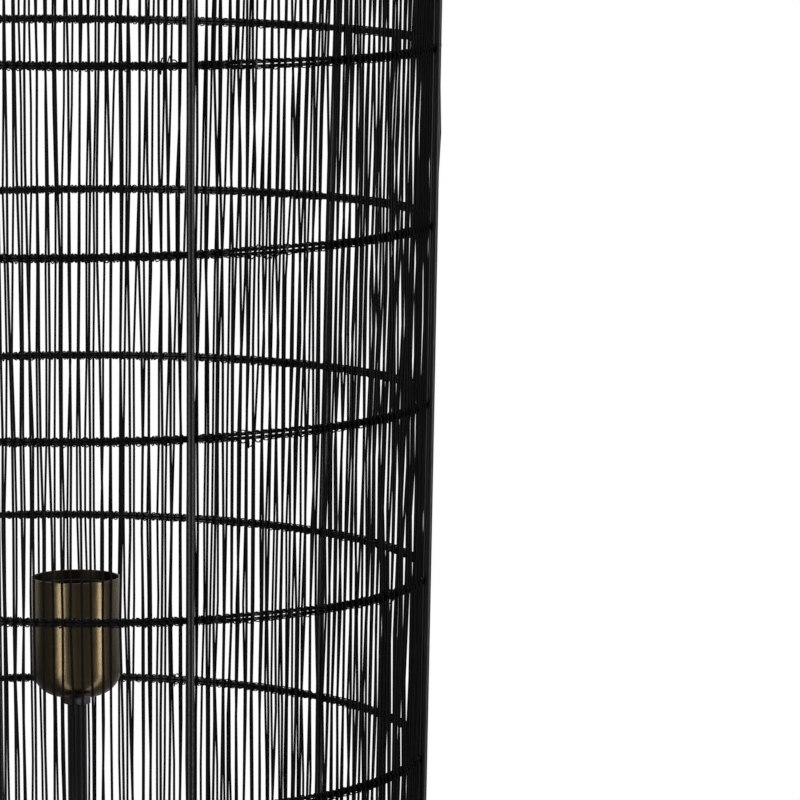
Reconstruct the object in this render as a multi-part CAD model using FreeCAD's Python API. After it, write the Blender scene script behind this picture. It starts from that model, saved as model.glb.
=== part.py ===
import FreeCAD, Part
import math
import os

# Wire cage floor lamp. Millimetres, +Z up, origin on the floor at the middle of the base.
# The front is -Y, and azimuths run from the front towards +X.

# Base plate and its square pads
pad_side = 22.0
pad_height = 7.0
pad_count = 4
pad_inset = 27.0                # from the edge of the plate to the middle of a pad
plate_thickness = 3.0
plate_margin = 0.8              # of plate outside the feet of the uprights

# Cage
hoop_count = 14
hoop_pitch = 91.0
first_hoop_height = 14.0
cage_bottom_radius = 170.0      # to the middle of the bar, at the lowest hoop
cage_top_radius = 194.5         # to the middle of the bar, at the highest hoop
hoop_bar = 2.4                  # square section of a hoop's bar
upright_radius = 2.0
upright_azimuths = (17.3, 75.0, 132.5, 193.1, 253.0, 313.0)   # the welder's spacing, not quite even
flats_per_panel = 6             # straight runs of a hoop from one upright to the next
wires_per_panel = 42
wire_size = 1.2                 # square section of a filler wire
wire_overhang = 3.0             # of the wires beyond the highest and lowest hoops
weld_gap = 0.05                 # between the hoops and the uprights
wire_gap_at_upright = 0.2       # room beside an upright, before half a wire pitch

# Stem, M10 x 1 tube
stem_radius = 5.0
stem_bore_radius = 4.0
stem_end_height = 1.6           # of the tube's lower end above the floor
stem_clearance = 0.1            # around the tube, in every hole that it passes through
nut_across_flats = 14.0
nut_height = 4.3

# Bush that lines the tube's lower end, where a cord enters
bush_bore_radius = 3.1
bush_wall_clearance = 0.1
bush_flange_thickness = 0.5
bush_length = 8.0

# Cup around the lampholder
cup_rim_height = 556.3
cup_height = 62.0
cup_radius = 23.0
cup_wall = 0.8
cup_corner_radius = 14.0
cup_corner_steps = 3            # cones that draw the outside of the rounded corner
cup_inner_corner_steps = 1

# Lampholder, E27. Heights are above the outside of the cup's bottom.
holder_radius = 19.5
holder_joint = 22.0             # where the body stands on the base
boss_side = 12.0                # square boss that screws onto the stem
base_length = 30.0
base_width = 20.0
base_bottom = 10.5              # of the wide part of the base, above the boss
base_wall = 2.0
stem_top_gap = 0.5              # from the end of the stem up to the chamber's floor
holder_rim_depth = 4.0          # of the body's top below the rim of the cup
shell_bore_radius = 13.3
shell_wall = 0.5
shell_length = 19.0
shell_clearance = 0.25          # between the shell and the body around it
well_radius = 7.5               # well around the contact, and the hole in the shell's flange

# Sprung centre contact
contact_radius = 2.5
contact_clearance = 0.05
contact_rise = 4.0              # of the tip above the floor of the well
contact_travel = 2.0
collar_on_contact = 4.2
contact_collar_thickness = 1.35
guide_length = 2.0              # of the bore around the contact, above its collar
leaf_room = 4.65                # under the collar when the contact is pressed down
spring_pocket_radius = 4.5
spring_strip = 0.35
spring_width = 3.0
spring_foot = 3.2               # half the length of the leaf
spring_crown = 0.8              # half the flat at the top of the leaf

# Terminals, which grip the wires by springs
terminal_width = 6.0
terminal_block_height = 6.0
terminal_plate_thickness = 1.5
terminal_reach = 12.8           # from the axis to the outer end of a terminal block
terminal_block_length = 5.5
tab_size = 2.0                  # square tab that joins the neutral terminal to the shell
wire_entry = 2.4                # square hole for a stripped wire, up into a terminal
wire_entry_depth = 5.0

plate_bottom = pad_height
plate_top = plate_bottom + plate_thickness
top_hoop_height = first_hoop_height + hoop_pitch * (hoop_count - 1)
cage_height = top_hoop_height + wire_overhang
cage_taper = (cage_top_radius - cage_bottom_radius) / (top_hoop_height - first_hoop_height)
cup_bottom = cup_rim_height - cup_height
well_floor = holder_joint + leaf_room + contact_travel + contact_collar_thickness + guide_length
shell_seat = well_floor + contact_rise
body_top = cup_height - holder_rim_depth
chamber_floor = base_bottom + base_wall
stem_hole_radius = stem_radius + stem_clearance
up = FreeCAD.Vector(0, 0, 1)


def hoop_radius(height):
    """Radius of the middle of a hoop's bar, at its corners."""
    return cage_bottom_radius + cage_taper * (height - first_hoop_height)


def polar(radius, azimuth, height):
    angle = math.radians(azimuth)
    return FreeCAD.Vector(radius * math.sin(angle), -radius * math.cos(angle), height)


def revolved(profile, base=0.0):
    """Solid of revolution about the stem's axis, from (radius, height) corners."""
    corners = [FreeCAD.Vector(radius, 0, height + base) for radius, height in profile]
    face = Part.Face(Part.makePolygon(corners + corners[:1]))
    return face.revolve(FreeCAD.Vector(), up, 360)


def ring(inner, outer, low, high, base=0.0):
    return revolved([(inner, low), (outer, low), (outer, high), (inner, high)], base)


def block(x0, x1, y0, y1, z0, z1):
    return Part.makeBox(x1 - x0, y1 - y0, z1 - z0, FreeCAD.Vector(x0, y0, z0))


# Base

def upright_distance(height):
    """From the lamp's axis to the axis of an upright, which stands outside the hoops."""
    return hoop_radius(height) + hoop_bar / 2 + weld_gap + upright_radius


def plate_radius():
    return upright_distance(plate_top) + upright_radius + plate_margin


def base_plate():
    return ring(stem_hole_radius, plate_radius(), plate_bottom, plate_top)


def floor_pads():
    pads = []
    for index in range(pad_count):
        pad = block(-pad_side / 2, pad_side / 2, -pad_side / 2, pad_side / 2, 0, pad_height)
        pad.translate(FreeCAD.Vector(0, pad_inset - plate_radius(), 0))
        pad.rotate(FreeCAD.Vector(), up, (index + 0.5) * 360 / pad_count)
        pads.append(pad)
    return pads


# Cage

def panel_span(panel):
    """Azimuths of the uprights at the two ends of a panel."""
    start = upright_azimuths[panel]
    end = upright_azimuths[(panel + 1) % len(upright_azimuths)]
    return start, end if end > start else end + 360


def hoop_corners():
    """Azimuths of the corners of a hoop: one at each upright, and evenly between them."""
    corners = []
    for panel in range(len(upright_azimuths)):
        start, end = panel_span(panel)
        corners += [start + (end - start) * k / flats_per_panel for k in range(flats_per_panel)]
    return corners


def hoop_outline(height, offset):
    points = [polar(hoop_radius(height) + offset, azimuth, height) for azimuth in hoop_corners()]
    return Part.makePolygon(points + points[:1])


def cage_hoop(height):
    """One hoop. Its faces lean with the cage, so that the wires bed on them."""
    low = height - hoop_bar / 2
    high = height + hoop_bar / 2
    shells = [Part.makeLoft([hoop_outline(low, offset), hoop_outline(high, offset)], True, True)
              for offset in (hoop_bar / 2, -hoop_bar / 2)]
    return shells[0].cut(shells[1])


def upright_rod(azimuth):
    foot = polar(upright_distance(plate_top + weld_gap), azimuth, plate_top + weld_gap)
    head = polar(upright_distance(cage_height), azimuth, cage_height)
    return Part.makeCylinder(upright_radius, (head - foot).Length, foot, head - foot)


def seat_radius(azimuth, start, end, height):
    """Distance to the outer face of the hoops, on the flat from azimuth start to end."""
    half = math.radians(end - start) / 2
    aside = math.radians(azimuth - (start + end) / 2)
    return (hoop_radius(height) + hoop_bar / 2) * math.cos(half) / math.cos(aside)


def filler_wire(azimuth, start, end):
    """One wire, flat against the outside of every hoop."""
    low = first_hoop_height - wire_overhang
    foot = polar(seat_radius(azimuth, start, end, low), azimuth, low)
    head = polar(seat_radius(azimuth, start, end, cage_height), azimuth, cage_height)
    along = (head - foot).normalize()
    flat = (polar(1, end, 0) - polar(1, start, 0)).normalize()
    outward = flat.cross(along).normalize()
    sideways = outward.cross(along)
    wire = Part.makeBox(wire_size, wire_size, (head - foot).Length, FreeCAD.Vector(-wire_size / 2, 0, 0))
    turn = FreeCAD.Matrix(sideways.x, outward.x, along.x, foot.x,
                          sideways.y, outward.y, along.y, foot.y,
                          sideways.z, outward.z, along.z, foot.z,
                          0, 0, 0, 1)
    wire.Placement = FreeCAD.Placement(turn)
    return wire


def filler_wires(panel):
    """The wires between two uprights, evenly spaced."""
    start, end = panel_span(panel)
    beside_upright = math.degrees((upright_radius + wire_gap_at_upright) / cage_bottom_radius)
    flat_angle = (end - start) / flats_per_panel
    wires = []
    for index in range(wires_per_panel):
        share = (index + 0.5) / wires_per_panel
        azimuth = start + beside_upright + (end - start - 2 * beside_upright) * share
        flat_start = start + flat_angle * math.floor((azimuth - start) / flat_angle)
        wires.append(filler_wire(azimuth, flat_start, flat_start + flat_angle))
    return wires


# Stem

def stem_tube():
    return ring(stem_bore_radius, stem_radius, stem_end_height, cup_bottom + chamber_floor - stem_top_gap)


def hex_nut(low):
    corner = nut_across_flats / 2 / math.cos(math.pi / 6)
    points = [polar(corner, 60 * k, low) for k in range(7)]
    body = Part.Face(Part.makePolygon(points)).extrude(up * nut_height)
    return body.cut(Part.makeCylinder(stem_hole_radius, nut_height, FreeCAD.Vector(0, 0, low)))


def stem_nuts():
    """One under the plate, one on it, and one that carries the cup."""
    return [hex_nut(low) for low in (plate_bottom - nut_height, plate_top, cup_bottom - nut_height)]


def cord_bush():
    sleeve = stem_bore_radius - bush_wall_clearance
    low = stem_end_height - bush_flange_thickness
    return revolved([(bush_bore_radius, low), (stem_radius, low), (stem_radius, stem_end_height),
                     (sleeve, stem_end_height), (sleeve, low + bush_length),
                     (bush_bore_radius, low + bush_length)])


# Cup and lampholder

def corner_profile(radius, steps, flat_radius, low):
    """Points up the rounded corner of the cup, from its flat bottom to its straight side."""
    turns = [math.pi / 2 * k / steps for k in range(steps + 1)]
    return [(flat_radius + radius * math.sin(turn), low + radius * (1 - math.cos(turn))) for turn in turns]


def lamp_cup():
    flat_radius = cup_radius - cup_corner_radius
    outside = corner_profile(cup_corner_radius, cup_corner_steps, flat_radius, 0)
    inside = corner_profile(cup_corner_radius - cup_wall, cup_inner_corner_steps, flat_radius, cup_wall)
    profile = [(stem_hole_radius, 0)] + outside + [(cup_radius, cup_height), (cup_radius - cup_wall, cup_height)]
    return revolved(profile + inside[::-1] + [(stem_hole_radius, cup_wall)], cup_bottom)


def lampholder_base():
    """Boss on the stem's thread, and above it an open box that holds the terminals."""
    boss = block(-boss_side / 2, boss_side / 2, -boss_side / 2, boss_side / 2, cup_wall, base_bottom)
    outside = block(-base_length / 2, base_length / 2, -base_width / 2, base_width / 2,
                    base_bottom, holder_joint)
    chamber = block(base_wall - base_length / 2, base_length / 2 - base_wall,
                    base_wall - base_width / 2, base_width / 2 - base_wall, chamber_floor, holder_joint)
    base = boss.fuse(outside).cut(chamber).cut(Part.makeCylinder(stem_hole_radius, holder_joint))
    base.translate(up * cup_bottom)
    return base


def neutral_tab(gap):
    """Square tab from the neutral terminal up through the body's floor, or its hole."""
    middle = terminal_reach - terminal_block_length / 2
    half = tab_size / 2 + gap
    return block(middle - half, middle + half, -half, half,
                 cup_bottom + holder_joint, cup_bottom + shell_seat)


def lampholder_body():
    guide = contact_radius + contact_clearance
    pocket_top = well_floor - guide_length
    cavity = shell_bore_radius + shell_wall + shell_clearance
    body = revolved([(spring_pocket_radius, holder_joint), (holder_radius, holder_joint),
                     (holder_radius, body_top), (cavity, body_top), (cavity, shell_seat),
                     (well_radius, shell_seat), (well_radius, well_floor), (guide, well_floor),
                     (guide, pocket_top), (spring_pocket_radius, pocket_top)], cup_bottom)
    return body.cut(neutral_tab(shell_clearance))


def screw_shell():
    outer = shell_bore_radius + shell_wall
    top = shell_seat + shell_length
    flange_top = shell_seat + shell_wall
    return revolved([(well_radius, shell_seat), (outer, shell_seat), (outer, top),
                     (shell_bore_radius, top), (shell_bore_radius, flange_top),
                     (well_radius, flange_top)], cup_bottom)


def contact_collar_top():
    return well_floor - guide_length - contact_clearance


def centre_contact():
    """Plunger that the bulb presses down; its collar is held under the guide."""
    collar_top = contact_collar_top()
    collar_low = collar_top - contact_collar_thickness
    tip = well_floor + contact_rise
    return revolved([(0, collar_low), (collar_on_contact, collar_low), (collar_on_contact, collar_top),
                     (contact_radius, collar_top), (contact_radius, tip), (0, tip)], cup_bottom)


def contact_leaf():
    """Arched leaf between the live terminal and the collar of the contact."""
    low = cup_bottom + holder_joint
    high = cup_bottom + contact_collar_top() - contact_collar_thickness - contact_clearance
    arch = [(-spring_foot, low), (-spring_crown, high), (spring_crown, high), (spring_foot, low)]
    inner = [(x - math.copysign(spring_strip, x), z if z == low else z - spring_strip) for x, z in arch]
    corners = [FreeCAD.Vector(x, -spring_width / 2, z) for x, z in arch + inner[::-1]]
    face = Part.Face(Part.makePolygon(corners + corners[:1]))
    return face.extrude(FreeCAD.Vector(0, spring_width, 0))


def terminal_block(side):
    """Block under the body's floor, at the left (-1) or right (1), with a hole for its wire."""
    middle = side * (terminal_reach - terminal_block_length / 2)
    top = cup_bottom + holder_joint
    low = top - terminal_plate_thickness - terminal_block_height
    body = block(middle - terminal_block_length / 2, middle + terminal_block_length / 2,
                 -terminal_width / 2, terminal_width / 2, low, top)
    return body.cut(block(middle - wire_entry / 2, middle + wire_entry / 2,
                          -wire_entry / 2, wire_entry / 2, low, low + wire_entry_depth))


def live_terminal():
    """Terminal with the plate that closes the spring's pocket."""
    top = cup_bottom + holder_joint
    plate = block(-terminal_reach, spring_pocket_radius, -terminal_width / 2, terminal_width / 2,
                  top - terminal_plate_thickness, top)
    return plate.fuse(terminal_block(-1)).removeSplitter()


def neutral_terminal():
    """Terminal with the tab that reaches the flange of the screw shell."""
    return terminal_block(1).fuse(neutral_tab(0)).removeSplitter()


nodes = {
    "base_plate": [base_plate()],
    "floor_pads": floor_pads(),
    "cage_hoops": [cage_hoop(first_hoop_height + hoop_pitch * k) for k in range(hoop_count)],
    "stem_tube": [stem_tube()],
    "stem_nuts": stem_nuts(),
    "cord_bush": [cord_bush()],
    "lamp_cup": [lamp_cup()],
    "lampholder_base": [lampholder_base()],
    "lampholder_body": [lampholder_body()],
    "screw_shell": [screw_shell()],
    "centre_contact": [centre_contact()],
    "contact_leaf": [contact_leaf()],
    "live_terminal": [live_terminal()],
    "neutral_terminal": [neutral_terminal()],
}
for number, azimuth in enumerate(upright_azimuths, 1):
    nodes[f"upright_rod_{number}"] = [upright_rod(azimuth)]
    nodes[f"filler_wires_{number}"] = filler_wires(number - 1)

os.makedirs("parts", exist_ok=True)
for name, solids in nodes.items():
    shape = solids[0] if len(solids) == 1 else Part.makeCompound(solids)
    if not shape.isValid() or any(solid.ShapeType != "Solid" for solid in shape.Solids):
        raise ValueError(f"{name} isn't a valid solid")
    shape.exportStep(f"parts/{name}.step")
    print(f"{name}: {len(shape.Solids)} solid(s), {shape.Volume:.0f} mm3")
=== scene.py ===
import math
import random
import bmesh
import bpy
from mathutils import Matrix, Vector


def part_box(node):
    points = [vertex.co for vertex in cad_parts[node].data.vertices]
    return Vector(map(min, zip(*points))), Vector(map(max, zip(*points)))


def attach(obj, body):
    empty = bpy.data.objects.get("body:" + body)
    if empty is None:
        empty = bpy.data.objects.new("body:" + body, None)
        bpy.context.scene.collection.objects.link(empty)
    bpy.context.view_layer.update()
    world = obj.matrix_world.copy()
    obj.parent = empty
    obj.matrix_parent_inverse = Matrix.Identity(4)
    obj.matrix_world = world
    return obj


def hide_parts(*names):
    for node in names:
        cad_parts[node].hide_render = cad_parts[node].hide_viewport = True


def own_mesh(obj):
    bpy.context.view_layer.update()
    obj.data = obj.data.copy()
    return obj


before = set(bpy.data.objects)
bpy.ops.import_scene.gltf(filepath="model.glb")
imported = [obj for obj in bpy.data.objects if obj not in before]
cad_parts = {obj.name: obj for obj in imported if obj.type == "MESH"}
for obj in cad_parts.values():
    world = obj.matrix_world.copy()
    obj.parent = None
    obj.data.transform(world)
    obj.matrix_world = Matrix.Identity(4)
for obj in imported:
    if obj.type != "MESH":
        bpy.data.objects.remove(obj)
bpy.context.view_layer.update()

mm = 0.001
collection = bpy.context.scene.collection


def newObject(name, data):
    result = bpy.data.objects.new(name, data)
    collection.objects.link(result)
    return result


# Camera, at the photograph's place. It stands in front of the lamp and looks a little down.
cameraView = {
    "distance": 2700.9 * mm, "height": 998.5 * mm, "yaw": 3.553, "pitch": 7.404,
    "lens": 237.8, "sensor": 36, "clipStart": 0.05, "clipEnd": 60,
}


def makeCamera(view):
    yaw = math.radians(view["yaw"])
    pitch = math.radians(view["pitch"])
    ahead = Vector((math.sin(yaw) * math.cos(pitch), math.cos(yaw) * math.cos(pitch), -math.sin(pitch)))
    data = bpy.data.cameras.new("camera")
    data.lens = view["lens"]
    data.sensor_width = view["sensor"]
    data.clip_start = view["clipStart"]
    data.clip_end = view["clipEnd"]
    camera = newObject("camera", data)
    camera.location = (0, -view["distance"], view["height"])
    camera.rotation_euler = ahead.to_track_quat("-Z", "Y").to_euler()
    bpy.context.scene.camera = camera


makeCamera(cameraView)
print("camera placed")


# Node building

class Socket:                        # a node's output, so that sums of nodes read as sums
    def __init__(self, graph, plug):
        self.graph = graph
        self.plug = plug

    def also(self, name):            # another output of the same node
        return Socket(self.graph, self.plug.node.outputs[name])

    def math(self, operation, first, second=0.0):
        return self.graph.add("ShaderNodeMath", {"operation": operation}, {0: first, 1: second})

    def __add__(self, other):
        return self.math("ADD", self, other)

    def __radd__(self, other):
        return self.math("ADD", other, self)

    def __sub__(self, other):
        return self.math("SUBTRACT", self, other)

    def __rsub__(self, other):
        return self.math("SUBTRACT", other, self)

    def __mul__(self, other):
        return self.math("MULTIPLY", self, other)

    def __rmul__(self, other):
        return self.math("MULTIPLY", other, self)

    def __truediv__(self, other):
        return self.math("DIVIDE", self, other)

    def __rtruediv__(self, other):
        return self.math("DIVIDE", other, self)

    def __pow__(self, other):
        return self.math("POWER", self, other)

    def __rpow__(self, other):
        return self.math("POWER", other, self)

    def sin(self):
        return self.math("SINE", self)

    def cos(self):
        return self.math("COSINE", self)

    def floor(self):
        return self.math("FLOOR", self)

    def absolute(self):
        return self.math("ABSOLUTE", self)

    def lessThan(self, other):       # 1 where it is less, and 0 elsewhere
        return self.math("LESS_THAN", self, other)

    def moreThan(self, other):
        return self.math("GREATER_THAN", self, other)

    def atLeast(self, other):
        return self.math("MAXIMUM", self, other)

    def atMost(self, other):
        return self.math("MINIMUM", self, other)

    def share(self):                 # held between 0 and 1
        return self.atLeast(0).atMost(1)


class Graph:
    def __init__(self, tree):
        self.tree = tree

    def add(self, kind, settings=None, values=None, out=0):
        node = self.tree.nodes.new(kind)
        for name, setting in (settings or {}).items():
            setattr(node, name, setting)
        for key, value in (values or {}).items():
            if isinstance(value, Socket):
                self.tree.links.new(value.plug, node.inputs[key])
            else:
                node.inputs[key].default_value = value
        return Socket(self, node.outputs[out])

    def show(self, surface, kind="ShaderNodeOutputMaterial"):
        output = self.tree.nodes.new(kind)
        self.tree.links.new(surface.plug, output.inputs["Surface"])

    def point(self, x, y, z):
        return self.add("ShaderNodeCombineXYZ", None, {0: x, 1: y, 2: z})

    def parts(self, vector):         # its X, with also("Y") and also("Z")
        return self.add("ShaderNodeSeparateXYZ", None, {0: vector})

    def mixColour(self, factor, first, second):
        return self.add("ShaderNodeMix", {"data_type": "RGBA"}, {0: factor, 6: first, 7: second}, 2)


def around(azimuth, middle, reach, steepness):
    # 1 at the middle azimuth, in degrees, and 0 beyond its reach on both sides
    aside = azimuth - math.radians(middle)
    return ((aside.cos() - math.cos(math.radians(reach))) * steepness).share()


# Materials. A look's relief and depth are the strength and distance of its bump.

def shade(hexColour):                # "#rrggbb" as it looks, to the linear colour of a socket
    parts = [int(hexColour[k:k + 2], 16) / 255 for k in (1, 3, 5)]
    return tuple(c / 12.92 if c <= 0.04045 else ((c + 0.055) / 1.055) ** 2.4 for c in parts) + (1.0,)


def newMaterial(name):
    material = bpy.data.materials.new(name)
    material.use_nodes = True
    tree = material.node_tree
    tree.nodes.clear()
    graph = Graph(tree)
    return material, graph, graph.add("ShaderNodeTexCoord", None, None, "Object")


def finishMaterial(material, graph, look, values, height):
    bump = {"Strength": look["relief"], "Distance": look["depth"], "Height": height}
    values["Normal"] = graph.add("ShaderNodeBump", None, bump)
    graph.show(graph.add("ShaderNodeBsdfPrincipled", None, values))
    return material


def noise(graph, place, scale, detail=2.0, roughness=0.5):
    return graph.add("ShaderNodeTexNoise", None,
                     {"Vector": place, "Scale": scale, "Detail": detail, "Roughness": roughness})


def stretched(graph, place, scale):
    return graph.add("ShaderNodeMapping", None, {"Vector": place, "Scale": scale})


def between(graph, look, tone):      # from the look's dark colour to its light one
    return graph.mixColour(tone, shade(look["dark"]), shade(look["light"]))


def unevenRoughness(look, field):
    return field * look["uneven"] + (look["roughness"] - look["uneven"] / 2)


coat = {
    "dark": "#030304", "light": "#0a0a0b", "roughness": 0.31, "uneven": 0.12, "specular": 0.2,
    "patches": (60, 3), "grain": (1500, 2), "relief": 0.35, "depth": 0.2 * mm,
}
wireCoat = {**coat, "roughness": 0.48, "specular": 0.03, "grain": (2600, 2)}


def makeCoat(name, look):
    material, graph, place = newMaterial(name)
    patches = noise(graph, place, *look["patches"])
    values = {
        "Base Color": between(graph, look, (patches * 1.6 - 0.3).share()),
        "Roughness": unevenRoughness(look, patches),
        "Specular IOR Level": look["specular"],
    }
    return finishMaterial(material, graph, look, values, noise(graph, place, *look["grain"]))


bronze = {
    "dark": "#3d3427", "light": "#6f6246", "roughness": 0.23, "uneven": 0.2,
    "brushing": (90, 90, 2600), "patina": (30, 30, 14), "relief": 0.25, "depth": 0.1 * mm,
}
# a darker bronze for the inside of the cup
darkerInside = {**bronze, "dark": "#16130f", "light": "#2b261c", "roughness": 0.42}   # inside of the cup


def makeBronze(name, look):
    material, graph, place = newMaterial(name)
    brushed = noise(graph, stretched(graph, place, look["brushing"]), 1, 3, 0.6)
    patina = noise(graph, stretched(graph, place, look["patina"]), 1, 4, 0.6)
    values = {
        "Base Color": between(graph, look, (brushed * 0.5 + patina * 0.9 - 0.35).share()),
        "Metallic": 1.0,
        "Roughness": unevenRoughness(look, (brushed + patina) * 0.5),
    }
    return finishMaterial(material, graph, look, values, brushed)


brass = {
    "dark": "#9a7a3e", "light": "#c9a860", "roughness": 0.26, "uneven": 0.14,
    "mottle": (220, 4, 0.6), "drawing": (400, 400, 1800), "relief": 0.12, "depth": 0.08 * mm,
}


def makeBrass(name, look):
    material, graph, place = newMaterial(name)
    drawn = noise(graph, stretched(graph, place, look["drawing"]), 1, 2)
    values = {
        "Base Color": between(graph, look, noise(graph, place, *look["mottle"])),
        "Metallic": 1.0,
        "Roughness": unevenRoughness(look, drawn),
    }
    return finishMaterial(material, graph, look, values, drawn)


phenolic = {
    "dark": "#060606", "light": "#0f0e0d", "roughness": 0.5, "uneven": 0.16, "specular": 0.03,
    "cloud": (140, 4, 0.6), "pores": (2400, 1), "relief": 0.15, "depth": 0.05 * mm,
}
rubber = {
    "dark": "#151515", "light": "#242424", "roughness": 0.79, "uneven": 0.1, "specular": 0.3,
    "cloud": (180, 3), "pores": (3200, 2), "relief": 0.4, "depth": 0.1 * mm,
}


def makeMoulded(name, look):
    material, graph, place = newMaterial(name)
    cloud = noise(graph, place, *look["cloud"])
    values = {
        "Base Color": between(graph, look, cloud),
        "Roughness": unevenRoughness(look, cloud),
        "Specular IOR Level": look["specular"],
    }
    return finishMaterial(material, graph, look, values, noise(graph, place, *look["pores"]))


coatMaterial = makeCoat("black_coat", coat)
wireMaterial = makeCoat("black_wire_coat", wireCoat)
bronzeMaterial = makeBronze("antique_bronze", bronze)
insideMaterial = makeBronze("darker_inside_bronze", darkerInside)
brassMaterial = makeBrass("bright_brass", brass)
phenolicMaterial = makeMoulded("black_phenolic", phenolic)
rubberMaterial = makeMoulded("pad_rubber", rubber)
print("materials made")


# Meshes

crease = math.radians(35)            # edges that turn more than this stay sharp
onAxis = 1e-9                        # a smaller radius is a point on the lamp's axis


def polar(radius, azimuth, height):  # azimuth in degrees, from the front (-Y) towards +X
    angle = math.radians(azimuth)
    return Vector((radius * math.sin(angle), -radius * math.cos(angle), height))


def arc(middleRadius, middleHeight, radius, start, end, steps):
    turns = [math.radians(start + (end - start) * k / steps) for k in range(steps + 1)]
    return [(middleRadius + radius * math.cos(t), middleHeight + radius * math.sin(t)) for t in turns]


def levels(low, high, step):
    count = max(1, round((high - low) / step))
    return [low + (high - low) * k / count for k in range(count + 1)]


def meshFrom(shape, name):
    mesh = bpy.data.meshes.new(name)
    shape.to_mesh(mesh)
    shape.free()
    return mesh


def newPiece(name, mesh, material):
    shape = bmesh.new()
    shape.from_mesh(mesh)
    for face in shape.faces:
        face.smooth = True
    for edge in shape.edges:
        edge.smooth = len(edge.link_faces) == 2 and edge.calc_face_angle(0) < crease
    shape.to_mesh(mesh)
    shape.free()
    mesh.materials.clear()
    mesh.materials.append(material)
    return newObject(name, mesh)


def outwards(shape):
    bmesh.ops.remove_doubles(shape, verts=shape.verts[:], dist=1e-7)
    bmesh.ops.recalc_face_normals(shape, faces=shape.faces[:])


def turned(name, outline, material, segments=96, change=None):
    # outline: (radius, height) round a closed section, or from one pole on the axis to the other
    shape = bmesh.new()
    rings = []
    for radius, height in outline:
        ring = []
        for k in range(1 if radius < onAxis else segments):
            angle = 2 * math.pi * k / segments
            r, z = change(radius, height, angle) if change else (radius, height)
            ring.append(shape.verts.new((r * math.sin(angle), -r * math.cos(angle), z)))
        rings.append(ring)
    fromPole = outline[0][0] < onAxis
    for low, high in zip(rings, rings[1:] if fromPole else rings[1:] + rings[:1]):
        for k in range(segments):
            corners = [low[k % len(low)], low[(k + 1) % len(low)],
                       high[(k + 1) % len(high)], high[k % len(high)]]
            shape.faces.new(list(dict.fromkeys(corners)))
    outwards(shape)
    return newPiece(name, meshFrom(shape, name), material)


def join(name, pieces):
    shape = bmesh.new()
    for piece in pieces:
        shape.from_mesh(piece.data)
    mesh = meshFrom(shape, name)
    mesh.materials.append(pieces[0].data.materials[0])
    for piece in pieces:
        bpy.data.objects.remove(piece)
    return newObject(name, mesh)


def settle(piece, body, slot, *nodes):
    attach(piece, body)
    if nodes:
        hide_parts(*nodes)


# Geometry Nodes

def newTree(name, inputs):
    tree = bpy.data.node_groups.new(name, "GeometryNodeTree")
    kinds = {"Geometry": "NodeSocketGeometry", "Material": "NodeSocketMaterial"}
    for label in ["Geometry"] + inputs + ["Material"]:
        tree.interface.new_socket(label, in_out="INPUT", socket_type=kinds.get(label, "NodeSocketFloat"))
    tree.interface.new_socket("Geometry", in_out="OUTPUT", socket_type="NodeSocketGeometry")
    graph = Graph(tree)
    start = tree.nodes.new("NodeGroupInput")
    given = {label: Socket(graph, start.outputs[label]) for label in ["Geometry", "Material"] + inputs}
    return tree, graph, given


def closeTree(tree, graph, given, geometry):
    real = graph.add("GeometryNodeRealizeInstances", None, {"Geometry": geometry})
    smooth = graph.add("GeometryNodeSetShadeSmooth", None, {"Geometry": real})
    painted = graph.add("GeometryNodeSetMaterial", None, {"Geometry": smooth, "Material": given["Material"]})
    output = tree.nodes.new("NodeGroupOutput")
    tree.links.new(painted.plug, output.inputs["Geometry"])
    return tree


def grow(name, tree, values, base):  # the tree's result on a base mesh, as a plain mesh
    source = newObject(name + "_source", base)
    modifier = source.modifiers.new("nodes", "NODES")
    modifier.node_group = tree
    for item in tree.interface.items_tree:
        if item.in_out == "INPUT" and item.name in values:
            modifier[item.identifier] = values[item.name]
    graph = bpy.context.evaluated_depsgraph_get()
    mesh = bpy.data.meshes.new_from_object(source.evaluated_get(graph), depsgraph=graph)
    mesh.name = name
    source.modifiers.remove(modifier)
    bpy.data.objects.remove(source)
    return newObject(name, mesh)


def along(graph, count):             # a curve with that many points, and the number of each
    line = graph.add("GeometryNodeCurvePrimitiveLine", None, {"End": (0, 0, 1)})
    points = graph.add("GeometryNodeResampleCurve", {"mode": "COUNT"}, {"Curve": line, "Count": count})
    return points, graph.add("GeometryNodeSplineParameter", None, None, "Index")


def repeated(graph, curve, count):   # its also("Duplicate Index") is the number of each copy
    return graph.add("GeometryNodeDuplicateElements", {"domain": "SPLINE"},
                     {"Geometry": curve, "Amount": count})


def tube(graph, curve, position, radius, sides):
    placed = graph.add("GeometryNodeSetPosition", None, {"Geometry": curve, "Position": position})
    profile = graph.add("GeometryNodeCurvePrimitiveCircle", None, {"Resolution": sides, "Radius": radius})
    return graph.add("GeometryNodeCurveToMesh", None,
                     {"Curve": placed, "Profile Curve": profile, "Fill Caps": True})


# Cage

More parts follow.
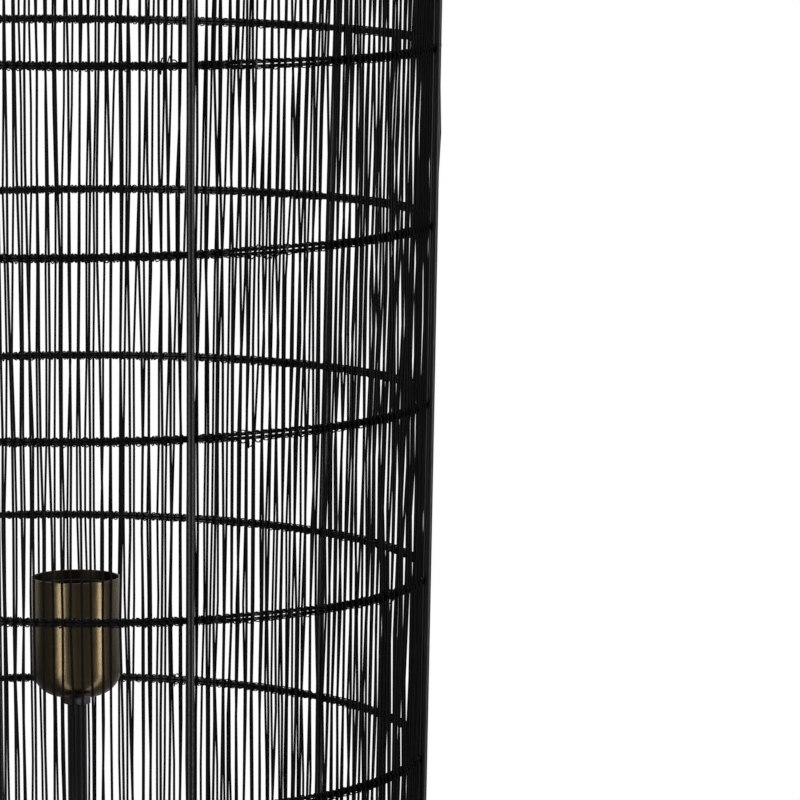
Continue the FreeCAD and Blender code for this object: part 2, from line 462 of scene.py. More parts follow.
cage = {
    "hoops": 14, "hoopPitch": 91 * mm, "firstHoop": 14 * mm, "barHalf": 1.2 * mm,
    "bottomRadius": 170 * mm, "topRadius": 194.5 * mm,
    "flatHalf": 5.0,                 # half the angle of a flat of the CAD hoop
    "uprights": (17.3, 75.0, 132.5, 193.1, 253.0, 313.0), "uprightRadius": 2 * mm, "weldGap": 0.05 * mm,
    # a hoop is a pair of rods, which part at one azimuth and here and there
    "rodRadius": 0.88 * mm, "rodSteps": 216, "rodSides": 8,
    "leastSpread": 0.84 * mm, "mostSpread": 1.09 * mm,
    "partedAt": 33.0, "partedReach": 10.0, "partedEdge": 90.0, "partedOver": 0.66,
    "wires": 42, "wireRadius": 0.69 * mm, "wireSides": 5, "wireEnd": 3 * mm, "besideUpright": 2.2 * mm,
    # how far a wire strays, in mm: at one hoop, as a whole, and slowly on its way up
    "strayAtHoop": 1.7, "strayOfWire": 0.8, "strayOnWay": 2.8,
    "bow": 3.0 * mm,                 # of a wire between two hoops, at most half of it each way
    "strandRadius": 0.36 * mm, "strandPoints": 10, "strandSides": 4, "strandRoom": 0.85 * mm,
    "tightness": 0.94, "looseness": 0.14,   # of a turn about its hoop, and what chance adds
    "slack": 0.45 * mm,              # of the lashing below a hoop
    "hangOver": 0.6, "slackOver": 0.9,      # chances from 0 to 2, past which a turn hangs
    # snarls in the lashing, at the azimuths where the photograph shows them, and anywhere on other hoops
    "snarls": {9: 374.5, 8: 29.0, 7: 27.5}, "snarlSpan": (40, 370), "snarlSeed": 7,
    "snarlReach": 3.2, "snarlSize": 3.4 * mm, "endSnarlSize": 0.3 * mm,
    # the uprights sway sideways, in degrees about the lamp's axis, and take the wires with them
    "sway": (0.1, 0.6, 1.4, 0.5, -0.7, 0.4),
    "swayMiddle": 747 * mm, "swayLength": 1100 * mm, "swayRise": 400 * mm,
    # how far a hoop stands above its even place, in mm, and its rise towards +X and +Y, as photographed
    "settled": {9: (-0.1, -0.0099, 0.0032), 8: (-1.5, 0.0051, 0.0005), 7: (-0.6, -0.0027, -0.0055),
                6: (2.2, -0.0179, -0.0050), 5: (-0.1, -0.0110, 0.0122)},
}
topHoop = cage["firstHoop"] + cage["hoopPitch"] * (cage["hoops"] - 1)
taper = (cage["topRadius"] - cage["bottomRadius"]) / (topHoop - cage["firstHoop"])
inscribed = math.cos(math.radians(cage["flatHalf"]))   # a round hoop lies within the CAD hoop's flats
wholeWire = 77.0                     # in place of a hoop's number, for a chance that a wire keeps


def cornerRadius(height):
    return cage["bottomRadius"] + taper * (height - cage["firstHoop"])


def settledHoops():                  # height of the middle, and rise towards +X and +Y
    hoops = []
    for k in range(cage["hoops"]):
        lift, east, north = cage["settled"].get(k, (0.0, 0.0, 0.0))
        hoops.append((cage["firstHoop"] + cage["hoopPitch"] * k + lift * mm, east, north))
    return hoops


def hoopPoints():
    # one point at the middle of each hoop, with the hoop's rise, and its snarl's azimuth and size
    hoops = settledHoops()
    mesh = bpy.data.meshes.new("hoop_points")
    mesh.from_pydata([(0, 0, height) for height, east, north in hoops], [], [])
    tilt = mesh.attributes.new("tilt", "FLOAT_VECTOR", "POINT")
    snarl = mesh.attributes.new("snarl", "FLOAT_VECTOR", "POINT")
    chance = random.Random(cage["snarlSeed"])
    for k, (height, east, north) in enumerate(hoops):
        tilt.data[k].vector = (east, north, 0)
        somewhere = chance.uniform(*cage["snarlSpan"])
        size = cage["snarlSize"] if 0 < k < cage["hoops"] - 1 else cage["endSnarlSize"]
        snarl.data[k].vector = (math.radians(cage["snarls"].get(k, somewhere)), size, 0)
    return mesh


def sampled(graph, given, value, index):
    return graph.parts(graph.add("GeometryNodeSampleIndex", {"data_type": "FLOAT_VECTOR"},
                                 {"Geometry": given["Geometry"], "Value": value, "Index": index}))


def ofHoop(graph, given, name, hoop):   # an attribute of a hoop's point
    value = graph.add("GeometryNodeInputNamedAttribute", {"data_type": "FLOAT_VECTOR"}, {"Name": name})
    return sampled(graph, given, value, hoop)


def hoopHeight(graph, given, hoop, azimuth):
    middle = sampled(graph, given, graph.add("GeometryNodeInputPosition"), hoop).also("Z")
    tilt = ofHoop(graph, given, "tilt", hoop)
    reach = given["Lowest Radius"] + given["Taper"] * middle
    return middle + reach * (azimuth.sin() * tilt.also("X") - azimuth.cos() * tilt.also("Y"))


def onCage(graph, given, azimuth, height, outward, lift=0.0):
    # the lift is straight up, without the taper
    radius = given["Lowest Radius"] + given["Taper"] * height + outward
    return graph.point(radius * azimuth.sin(), radius * azimuth.cos() * -1.0, height + lift)


def white(graph, x, y, z):           # a chance from 0 to 1
    return graph.add("ShaderNodeTexWhiteNoise", {"noise_dimensions": "3D"}, {"Vector": graph.point(x, y, z)})


def swayWave(height):                # of an upright, for a height in a number or in a socket
    turn = (cage["swayMiddle"] - height) * (2 * math.pi / cage["swayLength"])
    if isinstance(height, Socket):
        return turn.sin() * (height / cage["swayRise"]).atMost(1)
    return math.sin(turn) * min(1, height / cage["swayRise"])


def wireAzimuth(graph, given, wire, hoop):
    # even spacing, the ways in which a wire strays, and the sway of the uprights beside it
    seed = given["Seed"]
    onWay = noise(graph, graph.point(wire * 3.7, hoop * 0.4, seed), 1, 1)
    aside = (white(graph, wire, hoop, seed) - 0.5) * cage["strayAtHoop"]
    aside = aside + (white(graph, wire, wholeWire, seed) - 0.5) * cage["strayOfWire"]
    aside = aside + (onWay - 0.5) * cage["strayOnWay"]
    share = (wire + 0.5) / given["Wires"]
    sway = given["Start Sway"] + (given["End Sway"] - given["Start Sway"]) * share
    sway = sway * swayWave(hoop * cage["hoopPitch"] + cage["firstHoop"])
    return given["Start"] + given["Span"] * share + aside * given["Wander"] + sway


def spread(graph, given, hoop, azimuth):
    # half the distance between the two rods of a hoop: together, and here and there a little apart
    chance = noise(graph, graph.point(azimuth.sin() * 3.0, azimuth.cos() * 3.0, hoop * 9.7), 1, 2)
    there = around(azimuth, cage["partedAt"], cage["partedReach"], cage["partedEdge"])
    parted = ((chance - cage["partedOver"]) * 7.0).atLeast(there)
    return given["Least Spread"] + (given["Most Spread"] - given["Least Spread"]) * parted.atMost(1)


hoopInputs = ["Lowest Radius", "Taper", "Rod Radius", "Bar Half", "Least Spread", "Most Spread", "Hoops"]
panelInputs = hoopInputs + ["Start", "Span", "Wires", "Seed", "Wander", "Wire Radius", "Strand Radius",
                            "Strand Points", "Low", "High", "Lay", "Bow", "Start Sway", "End Sway"]


def wireTree():
    # each wire is bent a little where it crosses a hoop, and bows in or out between two hoops
    tree, graph, given = newTree("filler wires", panelInputs)
    line, index = along(graph, given["Hoops"] * 2 + 1)
    copies = repeated(graph, line, given["Wires"])
    wire = copies.also("Duplicate Index")
    last = given["Hoops"] - 1
    # two points to a hoop: on it and halfway to the next, and one more at each end
    stage = (index - 1) * 0.5
    below = stage.floor().atLeast(0).atMost(last)
    above = (below + 1).atMost(last)
    onward = (stage - below).atLeast(0) * (above - below)
    free = onward * (1 - onward) * 4
    low = wireAzimuth(graph, given, wire, below)
    azimuth = low + (wireAzimuth(graph, given, wire, above) - low) * onward
    lowHeight = hoopHeight(graph, given, below, low)
    height = lowHeight + (hoopHeight(graph, given, above, azimuth) - lowHeight) * onward
    bow = (white(graph, wire, below, given["Seed"] + 31.0) - 0.5) * given["Bow"] * free
    azimuth = azimuth + (white(graph, wire, below, given["Seed"] + 47.0) - 0.5) * given["Wander"] * free
    first = index.lessThan(0.5)
    end = index.moreThan(given["Hoops"] * 2 - 0.5)
    height = height * (1 - first - end) + given["Low"] * first + given["High"] * end
    position = onCage(graph, given, azimuth, height, given["Bar Half"] + given["Wire Radius"] + bow)
    wires = tube(graph, copies, position, given["Wire Radius"], cage["wireSides"])
    return closeTree(tree, graph, given, wires)


def lashingTree():
    # a thin wire goes round the hoop once for each filler wire, and over that wire
    tree, graph, given = newTree("lashing", panelInputs)
    line, index = along(graph, given["Wires"] * given["Strand Points"] + 1)
    copies = repeated(graph, line, given["Hoops"])
    hoop = copies.also("Duplicate Index")
    turn = index / given["Strand Points"] - 0.5
    wire = turn.floor()
    share = turn - wire
    phase = share * (2 * math.pi)    # 0 in front of the wire, and half a turn behind the hoop
    here = wireAzimuth(graph, given, wire, hoop)
    after = wireAzimuth(graph, given, wire + 1, hoop)
    azimuth = here + (after - here) * (share + phase.sin() * 0.1)
    seed = given["Seed"] + given["Lay"]
    # a snarl loosens the turns near it, and slack lets any turn hang a little
    snarl = ofHoop(graph, given, "snarl", hoop)
    apart = (azimuth - snarl.also("X")).absolute()
    loose = (1 - apart / math.radians(cage["snarlReach"])).atLeast(0) * snarl.also("Y")
    droop = white(graph, wire, hoop, seed + 5.0) * 2.0
    low = loose * (droop - cage["hangOver"]).atLeast(0) + \
        cage["slack"] * (droop - cage["slackOver"]).atLeast(0)
    high = loose * (white(graph, wire, hoop, seed + 9.0) * 1.6 - 0.8).atLeast(0)
    reach = given["Rod Radius"] + given["Strand Radius"]
    half = spread(graph, given, hoop, azimuth) + reach
    tightness = white(graph, wire, hoop, seed + 2.0) * cage["looseness"] + cage["tightness"]
    lift = half * phase.sin() * given["Lay"] * tightness
    lift = lift + high * (lift / half).atLeast(0) - low * (lift / half * -1.0).atLeast(0)
    over = (given["Wire Radius"] * 2.0 + given["Strand Radius"] * 0.1) * (phase.cos() * 1.6).share()
    outward = given["Bar Half"] - given["Rod Radius"] + reach * phase.cos() + over + low * 0.2
    position = onCage(graph, given, azimuth, hoopHeight(graph, given, hoop, azimuth), outward, lift)
    strands = tube(graph, copies, position, given["Strand Radius"], cage["strandSides"])
    return closeTree(tree, graph, given, strands)


def hoopTree():
    # two rods to a hoop, one above the other
    tree, graph, given = newTree("hoops", hoopInputs + ["Steps"])
    circle = graph.add("GeometryNodeCurvePrimitiveCircle", None,
                       {"Resolution": given["Steps"], "Radius": 1.0})
    index = graph.add("GeometryNodeSplineParameter", None, None, "Index")
    copies = repeated(graph, circle, given["Hoops"] * 2)
    number = copies.also("Duplicate Index")
    hoop = (number * 0.5).floor()
    side = (number - hoop * 2) * 2 - 1
    azimuth = index * (2 * math.pi) / given["Steps"]
    height = hoopHeight(graph, given, hoop, azimuth) + side * spread(graph, given, hoop, azimuth)
    position = onCage(graph, given, azimuth, height, given["Bar Half"] - given["Rod Radius"])
    rods = tube(graph, copies, position, given["Rod Radius"], cage["rodSides"])
    return closeTree(tree, graph, given, rods)


def panelSpan(panel):
    start = cage["uprights"][panel]
    end = cage["uprights"][(panel + 1) % len(cage["uprights"])]
    return start, end if end > start else end + 360


def makeCage():
    points = hoopPoints()
    shared = {
        "Hoops": cage["hoops"], "Taper": taper * inscribed, "Bar Half": cage["barHalf"],
        "Lowest Radius": inscribed * cornerRadius(0) - cage["strandRoom"], "Rod Radius": cage["rodRadius"],
        "Least Spread": cage["leastSpread"], "Most Spread": cage["mostSpread"],
    }
    hoopValues = {**shared, "Steps": cage["rodSteps"], "Material": coatMaterial}
    hoops = grow("hoop_rods", hoopTree(), hoopValues, points)
    settle(hoops, "lamp", "black_coat", "cage_hoops")
    shared.update({
        "Wires": cage["wires"], "Wander": mm / cage["bottomRadius"], "Wire Radius": cage["wireRadius"],
        "Strand Radius": cage["strandRadius"], "Strand Points": cage["strandPoints"], "Bow": cage["bow"],
        "Low": cage["firstHoop"] - cage["wireEnd"], "High": topHoop + cage["wireEnd"],
        "Material": wireMaterial,
    })
    beside = math.degrees(cage["besideUpright"] / cage["bottomRadius"])
    wires = wireTree()
    lashing = lashingTree()
    for panel in range(len(cage["uprights"])):
        start, end = panelSpan(panel)
        values = {
            **shared, "Seed": panel + 1.0,
            "Start": math.radians(start + beside), "Span": math.radians(end - start - 2 * beside),
            "Start Sway": math.radians(cage["sway"][panel]),
            "End Sway": math.radians(cage["sway"][(panel + 1) % len(cage["sway"])]),
        }
        piece = grow(f"wires_{panel + 1}", wires, values, points)
        settle(piece, "lamp", "black_coat", f"filler_wires_{panel + 1}")
        turns = [grow(f"turns_{lay}", lashing, {**values, "Lay": lay}, points) for lay in (-1.0, 1.0)]
        settle(join(f"lashing_{panel + 1}", turns), "lamp", "black_coat")
    print("cage wires and lashing made")


upright = {"foot": 10.05 * mm, "edge": 0.25 * mm, "lengths": 60, "sides": 24}   # short lengths, so it bends
weld = {
    "width": 1.3 * mm, "height": 1.7 * mm, "outside": 0.6 * mm,   # outside the bar's middle
    "segments": 10, "rings": 6, "least": 0.8, "uneven": 0.35,
}


def uprightAxis(azimuth, height):
    return polar(cornerRadius(height) + cage["barHalf"] + cage["weldGap"] + cage["uprightRadius"],
                 azimuth, height)


def swayed(place, number):           # a place on an upright, moved round the lamp's axis by its sway
    turn = math.radians(cage["sway"][number - 1]) * swayWave(place.z)
    return Matrix.Rotation(turn, 3, "Z") @ place


def makeUpright(number, azimuth):
    foot = uprightAxis(azimuth, upright["foot"])
    head = uprightAxis(azimuth, topHoop + cage["wireEnd"])
    length = (head - foot).length
    radius = cage["uprightRadius"]
    edge = upright["edge"]
    side = [(radius, length * k / upright["lengths"]) for k in range(1, upright["lengths"])]
    outline = [(0, 0)] + arc(radius - edge, edge, edge, -90, 0, 3) + side + \
        arc(radius - edge, length - edge, edge, 0, 90, 3) + [(0, length)]
    rod = turned(f"rod_{number}", outline, coatMaterial, upright["sides"])
    place = (head - foot).to_track_quat("Z", "Y").to_matrix().to_4x4()
    place.translation = foot
    rod.data.transform(place)
    for vertex in rod.data.vertices:
        vertex.co = swayed(vertex.co, number)
    settle(rod, "lamp", "black_coat", f"upright_rod_{number}")


def beadTree():
    # a weld bead on each point
    tree, graph, given = newTree("weld beads", ["Width", "Height"])
    bead = graph.add("GeometryNodeMeshUVSphere", None,
                     {"Segments": weld["segments"], "Rings": weld["rings"], "Radius": 1.0})
    index = graph.add("GeometryNodeInputIndex")
    growth = white(graph, index, 3.0, 1.0) * weld["uneven"] + weld["least"]
    size = graph.point(given["Width"] * growth, given["Width"] * growth, given["Height"] * growth)
    placed = graph.add("GeometryNodeInstanceOnPoints", None,
                       {"Points": given["Geometry"], "Instance": bead, "Scale": size})
    return closeTree(tree, graph, given, placed)


def makeUprights():
    beads = []
    for number, azimuth in enumerate(cage["uprights"], 1):
        makeUpright(number, azimuth)
        for height, east, north in settledHoops():
            at = polar(cornerRadius(height) + weld["outside"], azimuth, height)
            beads.append(swayed(at + Vector((0, 0, east * at.x + north * at.y)), number))
    mesh = bpy.data.meshes.new("bead_points")
    mesh.from_pydata(beads, [], [])
    values = {"Width": weld["width"], "Height": weld["height"], "Material": coatMaterial}
    settle(grow("weld_beads", beadTree(), values, mesh), "lamp", "black_coat")
    print("uprights made")


makeCage()
makeUprights()


# Base, stem, nuts and bush

base = {
    "hole": 5.1 * mm, "edge": 0.6 * mm, "sides": 160,
    "pads": 4, "padReach": 148.97 * mm, "padSide": 22 * mm, "padCorner": 1.6 * mm, "padEdge": 0.7 * mm,
}


def makePlate():
    low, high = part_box("base_plate")
    radius = high.x
    edge = base["edge"]
    hole = base["hole"]
    outline = [(hole + edge / 2, low.z)] + arc(radius - edge, low.z + edge, edge, -90, 0, 4) + \
        arc(radius - edge, high.z - edge, edge, 0, 90, 4) + [(hole + edge / 2, high.z)] + \
        [(hole, high.z - edge / 2), (hole, low.z + edge / 2)]
    settle(turned("base_disc", outline, coatMaterial, base["sides"]), "lamp", "black_coat", "base_plate")


def makePad(number):
    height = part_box("floor_pads")[1].z
    side = base["padSide"]
    shape = bmesh.new()
    bmesh.ops.create_cube(shape, size=1)
    for vertex in shape.verts:
        vertex.co = Vector((vertex.co.x * side, vertex.co.y * side, (vertex.co.z + 0.5) * height))
    corners = [e for e in shape.edges if abs(e.verts[0].co.z - e.verts[1].co.z) > mm]
    bmesh.ops.bevel(shape, geom=corners, offset=base["padCorner"], segments=4, affect="EDGES", profile=0.5)
    rim = [e for e in shape.edges if max(v.co.z for v in e.verts) < mm / 2]
    bmesh.ops.bevel(shape, geom=rim, offset=base["padEdge"], segments=3, affect="EDGES", profile=0.5)
    turn = math.radians((number + 0.5) * 360 / base["pads"])
    for vertex in shape.verts:
        x, y = vertex.co.x, vertex.co.y - base["padReach"]
        vertex.co.x = x * math.cos(turn) - y * math.sin(turn)
        vertex.co.y = x * math.sin(turn) + y * math.cos(turn)
    outwards(shape)
    return newPiece(f"pad_{number}", meshFrom(shape, f"pad_{number}"), rubberMaterial)


def makeBase():
    makePlate()
    pads = [makePad(k) for k in range(base["pads"])]
    settle(join("rubber_pads", pads), "lamp", "pad_rubber", "floor_pads")
    print("base made")


stem = {
    "radius": 5 * mm, "bore": 4 * mm, "chamfer": 0.3 * mm, "sides": 48,
    "threadPitch": 1 * mm, "threadDepth": 0.55 * mm, "threadRows": 8, "threadRun": 0.2 * mm,
    "lowThreadTop": 24 * mm, "highThreadLow": 491 * mm,
}


def threadCut(zones):
    def change(radius, height, angle):
        inside = any(a <= height <= b for a, b in zones) and radius > stem["bore"] + 0.1 * mm
        if not inside:
            return radius, height
        # a groove with a flat crest and a flat root, once round for each pitch
        across = (height / stem["threadPitch"] - angle / (2 * math.pi)) % 1
        depth = min(1.0, max(0.0, abs(across * 2 - 1) * 1.3 - 0.15))
        return radius - stem["threadDepth"] * depth, height
    return change


def makeStem():
    low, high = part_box("stem_tube")
    radius = stem["radius"]
    bore = stem["bore"]
    chamfer = stem["chamfer"]
    run = stem["threadRun"]
    step = stem["threadPitch"] / stem["threadRows"]
    side = levels(low.z + chamfer, stem["lowThreadTop"], step) + \
        [stem["lowThreadTop"] + run, stem["highThreadLow"] - run] + \
        levels(stem["highThreadLow"], high.z - chamfer, step)
    outline = [(bore, low.z), (radius - chamfer, low.z)] + [(radius, z) for z in side] + \
        [(radius - chamfer, high.z), (bore, high.z)]
    cut = threadCut([(low.z + run, stem["lowThreadTop"]), (stem["highThreadLow"], high.z - run)])
    settle(turned("stem", outline, coatMaterial, stem["sides"], cut), "lamp", "black_coat", "stem_tube")
    print("stem made")


nut = {
    "acrossFlats": 14 * mm, "height": 4.3 * mm, "hole": 5.1 * mm, "holeEdge": 0.4 * mm, "sides": 144,
    "rows": (0, 0.12, 0.25, 0.4, 0.55, 0.7),   # levels of the chamfer in from an end, in mm
    "chamferStart": 0.97, "chamferSlope": 1.9,
}


def hexRadius(angle, half):
    sector = math.pi / 3
    return half / math.cos((angle + sector / 2) % sector - sector / 2)


def nutForm(low):
    # a hexagon that stands at that level, with its six corners cut back to a circle at both ends
    half = nut["acrossFlats"] / 2

    def change(radius, height, angle):
        if radius <= nut["hole"] + 0.5 * mm:
            return radius, height + low
        circle = half * nut["chamferStart"] + min(height, nut["height"] - height) * nut["chamferSlope"]
        return min(hexRadius(angle + math.pi / 6, half), circle), height + low
    return change


def makeNuts():
    corner = nut["acrossFlats"] / 2 / math.cos(math.pi / 6)
    top = nut["height"]
    hole = nut["hole"]
    edge = nut["holeEdge"]
    side = [(corner, h * mm) for h in nut["rows"]] + [(corner, top - h * mm) for h in nut["rows"][::-1]]
    outline = [(hole, edge), (hole + edge, 0)] + side + [(hole + edge, top), (hole, top - edge)]
    plateLow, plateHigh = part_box("base_plate")
    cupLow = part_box("lamp_cup")[0]
    pieces = [turned(f"nut_{number}", outline, coatMaterial, nut["sides"], nutForm(low))
              for number, low in enumerate((plateLow.z - top, plateHigh.z, cupLow.z - top))]
    settle(join("hex_nuts", pieces), "lamp", "black_coat", "stem_nuts")


bush = {
    "bore": 3.1 * mm, "sleeve": 3.9 * mm, "flange": 5.0 * mm, "flangeHeight": 0.5 * mm,
    "entry": 0.4 * mm, "rim": 0.2 * mm, "chamfer": 0.3 * mm, "sides": 48,
}


def makeBush():
    low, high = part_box("cord_bush")
    bore = bush["bore"]
    sleeve = bush["sleeve"]
    flange = bush["flange"]
    entry = bush["entry"]
    rim = bush["rim"]
    chamfer = bush["chamfer"]
    seat = low.z + bush["flangeHeight"]
    outline = arc(bore + entry, low.z + entry, entry, 180, 270, 4) + \
        arc(flange - rim, low.z + rim, rim, -90, 0, 3) + \
        [(flange, seat), (sleeve, seat), (sleeve, high.z - chamfer), (sleeve - chamfer, high.z),
         (bore, high.z)]
    piece = turned("inlet_bush", outline, phenolicMaterial, bush["sides"])
    settle(piece, "lamp", "black_phenolic", "cord_bush")
    print("nuts and bush made")


makeBase()
makeStem()
makeNuts()
makeBush()


# Cup and lampholder

cup = {"radius": 23 * mm, "corner": 14 * mm, "wall": 0.8 * mm, "hole": 5.1 * mm, "sides": 128}


def makeCup():
    low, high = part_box("lamp_cup")
    radius = cup["radius"]
    corner = cup["corner"]
    wall = cup["wall"]
    lip = wall / 2
    outer = arc(radius - corner, low.z + corner, corner, -90, 0, 24)
    inner = arc(radius - corner, low.z + corner, corner - wall, 0, -90, 24)
    outline = [(cup["hole"], low.z)] + outer + arc(radius - lip, high.z - lip, lip, 0, 180, 8) + inner + \
        [(cup["hole"], low.z + wall)]
    piece = turned("bronze_cup", outline, bronzeMaterial, cup["sides"])
    piece.data.materials.append(insideMaterial)
    for face in piece.data.polygons:     # the inside, below the lip, gets a darker bronze
        middle = face.center
        inwards = face.normal.x * middle.x + face.normal.y * middle.y < 0 or face.normal.z > 0.2
        if inwards and math.hypot(middle.x, middle.y) < radius - lip and middle.z < high.z - lip / 2:
            face.material_index = 1
    settle(piece, "lamp", "antique_bronze", "lamp_cup")


# levels of the holder are above the cup's bottom
holder = {
    "cavity": 14.05 * mm, "well": 7.5 * mm, "guide": 2.55 * mm, "pocket": 4.5 * mm, "edge": 0.9 * mm,
    "shellSeat": 36 * mm, "wellFloor": 32 * mm, "pocketTop": 30 * mm, "sides": 96,
}


def makeHolderBody():
    low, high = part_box("lampholder_body")
    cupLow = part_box("lamp_cup")[0].z
    radius = high.x
    edge = holder["edge"]
    cavity = holder["cavity"]
    shellSeat = cupLow + holder["shellSeat"]
    wellFloor = cupLow + holder["wellFloor"]
    pocketTop = cupLow + holder["pocketTop"]
    outline = [(holder["pocket"], low.z)] + arc(radius - edge, low.z + edge, edge, -90, 0, 5) + \
        arc(radius - edge, high.z - edge, edge, 0, 90, 6) + \
        arc(cavity + edge, high.z - edge, edge, 90, 180, 6) + \
        [(cavity, shellSeat), (holder["well"], shellSeat), (holder["well"], wellFloor),
         (holder["guide"], wellFloor), (holder["guide"], pocketTop), (holder["pocket"], pocketTop)]
    piece = turned("holder_body", outline, phenolicMaterial, holder["sides"])
    settle(piece, "lamp", "black_phenolic", "lampholder_body")


shell = {
    "middle": 13.2 * mm, "sheet": 0.3 * mm, "row": 0.3 * mm, "sides": 96,
    "threadPitch": 3.6 * mm, "threadHeight": 0.5 * mm, "threadInset": 0.1 * mm,
}


def makeShell():
    # rolled round thread: sheet metal that waves in and out once per pitch
    low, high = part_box("screw_shell")
    middle = shell["middle"]
    sheet = shell["sheet"]
    rows = levels(low.z + sheet, high.z, shell["row"])
    outline = [(holder["well"], low.z), (middle - mm, low.z)] + [(middle + sheet / 2, z) for z in rows] + \
        [(middle - sheet / 2, z) for z in rows[::-1]] + \
        [(middle - mm, low.z + sheet), (holder["well"], low.z + sheet)]

    def wave(radius, height, angle):
        if radius < middle - 0.9 * mm:
            return radius, height
        # the thread starts and ends gently, at the flange and at the rim
        grown = min(1.0, (height - low.z) / (2 * mm), (high.z + 0.6 * mm - height) / (1.6 * mm))
        across = 2 * math.pi * height / shell["threadPitch"] - angle
        out = shell["threadHeight"] / 2 * math.cos(across) * max(0.0, grown)
        return radius - shell["threadInset"] + out, height
    piece = turned("threaded_shell", outline, brassMaterial, shell["sides"], wave)
    settle(piece, "lamp", "bright_brass", "screw_shell")


contact = {"radius": 2.5 * mm, "collar": 1.35 * mm, "edge": 0.2 * mm, "crown": 0.9 * mm, "sides": 48}


def makeContact():
    low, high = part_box("centre_contact")
    collarRadius = high.x
    collarTop = low.z + contact["collar"]
    radius = contact["radius"]
    edge = contact["edge"]
    crown = contact["crown"]
    turns = [math.radians(a) for a in range(0, 90, 10)]
    outline = [(0, low.z), (collarRadius - edge, low.z), (collarRadius, low.z + edge),
               (collarRadius, collarTop - edge), (collarRadius - edge, collarTop), (radius, collarTop)] + \
        [(radius * math.cos(t), high.z - crown + crown * math.sin(t)) for t in turns] + [(0, high.z)]
    piece = turned("contact_plunger", outline, brassMaterial, contact["sides"])
    settle(piece, "contact", "bright_brass", "centre_contact")


leaf = {"width": 3 * mm, "sheet": 0.35 * mm, "steps": 28, "peak": 1.3, "kept": 0.69}


def makeLeaf():
    # a strip of spring brass, arched; it flattens when the contact is pressed
    low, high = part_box("contact_leaf")
    sheet = leaf["sheet"]
    steps = leaf["steps"]
    half = high.x - sheet / 2
    rise = high.z - low.z - sheet
    turns = [math.pi * k / steps for k in range(steps + 1)]
    path = [Vector((-half * math.cos(t), 0, low.z + sheet / 2 + rise * math.sin(t) ** leaf["peak"]))
            for t in turns]
    side = Vector((0, leaf["width"] / 2, 0))
    shape = bmesh.new()
    rows = []
    for k, place in enumerate(path):
        ahead = path[min(k + 1, steps)] - path[max(k - 1, 0)]
        out = Vector((-ahead.z, 0, ahead.x)).normalized() * (sheet / 2)
        corners = [place + out + side, place + out - side, place - out - side, place - out + side]
        rows.append([shape.verts.new((c.x, c.y, max(c.z, low.z))) for c in corners])
    for first, second in zip(rows, rows[1:]):
        for k in range(4):
            shape.faces.new((first[k], first[(k + 1) % 4], second[(k + 1) % 4], second[k]))
    shape.faces.new(rows[0])
    shape.faces.new(rows[-1])
    outwards(shape)
    piece = newPiece("arched_leaf", meshFrom(shape, "arched_leaf"), brassMaterial)
    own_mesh(piece)
    settle(piece, "lamp", "bright_brass", "contact_leaf")


# CAD solids that show as they are
kept = {
    "lampholder_base": phenolicMaterial, "live_terminal": brassMaterial, "neutral_terminal": brassMaterial,
}


def paintKept():
    for node, material in kept.items():
        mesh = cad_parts[node].data
        mesh.materials.clear()
        mesh.materials.append(material)


makeCup()
makeHolderBody()
makeShell()
makeContact()
makeLeaf()
paintKept()
print("cup and lampholder made")


# Studio

softLeft = {"azimuth": -40, "distance": 2.5, "height": 1.0, "width": 0.85, "tall": 2.4, "radiance": 9.5}
softRight = {"azimuth": 64, "distance": 2.5, "height": 1.0, "width": 0.45, "tall": 2.4, "radiance": 14.0}
softAbove = {"azimuth": 170, "distance": 2.2, "height": 2.6, "width": 1.6, "tall": 1.2, "radiance": 1.6}
studio = {"ambient": 0.5, "lampAim": 0.6}
floor = {
    "radius": 1.75, "fadeFrom": 1.0, "light": "#e9e8e6", "dark": "#dddbd8", "grain": (9, 3), "roughness": 0.8,
}


def fadedFloor():                    # plain round the lamp, and clear towards its edge
    material, graph, place = newMaterial("studio_floor")
    parts = graph.parts(place)
    reach = (parts * parts + parts.also("Y") * parts.also("Y")) ** 0.5
    grain = noise(graph, place, *floor["grain"]) * 0.2
    colour = graph.mixColour(grain, shade(floor["light"]), shade(floor["dark"]))
    values = {"Base Color": colour, "Roughness": floor["roughness"]}
    plain = graph.add("ShaderNodeBsdfPrincipled", None, values)
    clear = graph.add("ShaderNodeBsdfTransparent")
    fade = ((reach - floor["fadeFrom"]) / (floor["radius"] - floor["fadeFrom"])).share() ** 0.8
    graph.show(graph.add("ShaderNodeMixShader", None, {0: fade, 1: plain, 2: clear}))
    return material


def makeFloor():
    shape = bmesh.new()
    bmesh.ops.create_circle(shape, cap_ends=True, segments=128, radius=floor["radius"])
    mesh = meshFrom(shape, "floor")
    mesh.materials.append(fadedFloor())
    piece = newObject("floor", mesh)
    piece.visible_glossy = False


card = {
    "radius": 3.6, "span": (-110, 106), "steps": 36, "top": 5.0, "sheet": -0.02,
    # the card glows: plain is its dim even glow, the fold numbers give painted light and shade of folds it
    # does not have, and the sheens are painted lamp light on the sheet
    "plain": 0.2, "paintedFoldShading": 0.4, "paintedFoldAt": 15.5, "paintedFoldPitch": 23.3, "paintedFoldsFrom": -20, "paintedFoldsEdge": 8.0,
    "paintedSheens": ((softLeft, 10), (softRight, 7)),   # of the lamps on the sheet, and their half width
    "paintedSheenEdge": 150, "brightest": 8.0,
}


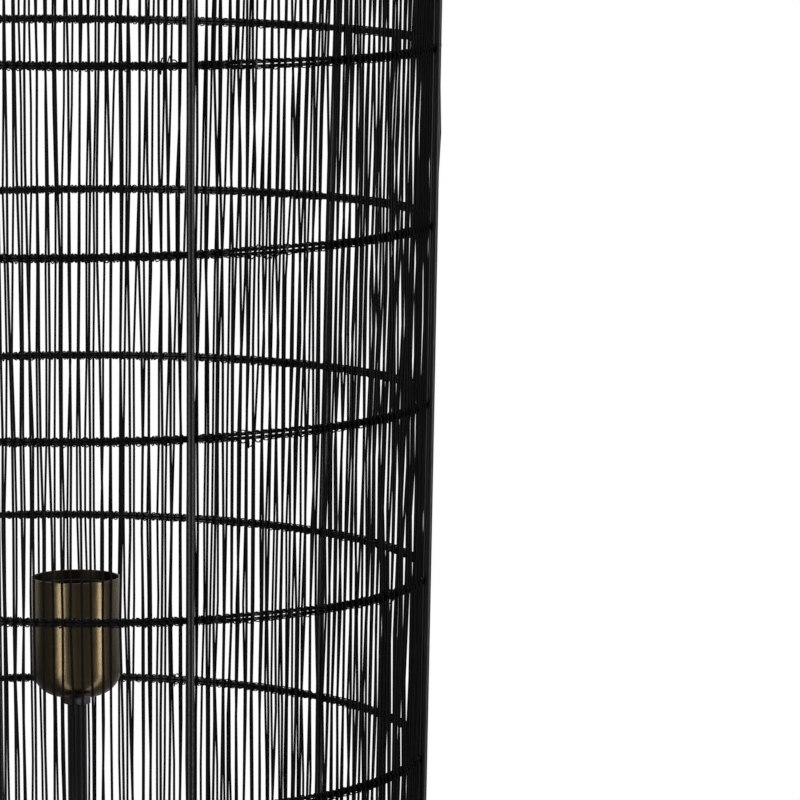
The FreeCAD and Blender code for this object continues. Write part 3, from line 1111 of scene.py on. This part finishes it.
def paintedFolds():
    # the wall glows, with painted light and painted shade of soft upright folds to the right of the middle,
    # which are not in its shape, and painted sheens of the lamps on the sheet below
    material, graph, place = newMaterial("card_painted_folds_and_sheens")
    parts = graph.parts(place)
    azimuth = graph.add("ShaderNodeMath", {"operation": "ARCTAN2"}, {0: parts, 1: parts.also("Y") * -1.0})
    # painted light and shade of folds that the card does not have
    paintedFold = ((azimuth - math.radians(card["paintedFoldAt"])) * (360 / card["paintedFoldPitch"])).cos() * 0.5 + 0.5
    right = ((azimuth - math.radians(card["paintedFoldsFrom"])) * card["paintedFoldsEdge"]).share()
    radiance = paintedFold * right * card["paintedFoldShading"] + card["plain"]
    onSheet = parts.also("Z").lessThan(0.0)
    for lamp, reach in card["paintedSheens"]:
        # painted sheen: lamp light painted on the dark sheet
        paintedSheen = around(azimuth, lamp["azimuth"], reach, card["paintedSheenEdge"]) * onSheet
        radiance = radiance + paintedSheen * (lamp["radiance"] * 0.5)
    colour = graph.mixColour(radiance / card["brightest"], (0, 0, 0, 1), (1, 1, 1, 1))
    graph.show(graph.add("ShaderNodeEmission", None, {"Color": colour, "Strength": card["brightest"]}))
    return material


def makeCard():
    # a dark curved card behind the camera and a dark sheet below, seen only in reflections; both glow dimly
    # as painted shade of a dark studio, with painted fold light and shade and painted lamp sheens
    shape = bmesh.new()
    steps = card["steps"]
    start, end = card["span"]
    azimuths = [start + (end - start) * k / steps for k in range(steps + 1)]
    low, high = ([shape.verts.new(polar(card["radius"], a, z)) for a in azimuths]
                 for z in (card["sheet"], card["top"]))
    for k in range(steps):
        shape.faces.new((low[k], low[k + 1], high[k + 1], high[k]))
    bmesh.ops.create_circle(shape, cap_ends=True, segments=96, radius=card["radius"],
                            matrix=Matrix.Translation((0, 0, card["sheet"])))
    mesh = meshFrom(shape, "card")
    mesh.materials.append(paintedFolds())
    piece = newObject("card", mesh)
    piece.visible_camera = False
    piece.visible_diffuse = False
    piece.visible_shadow = False
    piece.visible_transmission = False


def softBox(name, look):
    data = bpy.data.lights.new(name, "AREA")
    data.shape = "RECTANGLE"
    data.size = look["width"]
    data.size_y = look["tall"]
    data.energy = look["radiance"] * math.pi * look["width"] * look["tall"]
    lamp = newObject(name, data)
    lamp.location = polar(look["distance"], look["azimuth"], look["height"])
    target = Vector((0, 0, studio["lampAim"]))
    lamp.rotation_euler = (target - lamp.location).to_track_quat("-Z", "Y").to_euler()
    lamp.visible_camera = False


def makeWorld():
    world = bpy.data.worlds.new("studio")
    bpy.context.scene.world = world
    world.use_nodes = True
    world.node_tree.nodes.clear()
    graph = Graph(world.node_tree)
    path = graph.add("ShaderNodeLightPath", None, None, "Is Camera Ray")
    seen = path.atLeast(path.also("Is Glossy Ray")).atLeast(path.also("Is Transmission Ray"))
    strength = seen * (1 - studio["ambient"]) + studio["ambient"]
    background = graph.add("ShaderNodeBackground", None, {"Color": (1, 1, 1, 1), "Strength": strength})
    graph.show(background, "ShaderNodeOutputWorld")


makeFloor()
makeCard()
makeWorld()
softBox("soft_left", softLeft)
softBox("soft_right", softRight)
softBox("soft_above", softAbove)
bpy.context.scene.view_settings.view_transform = "Standard"
print("studio made")
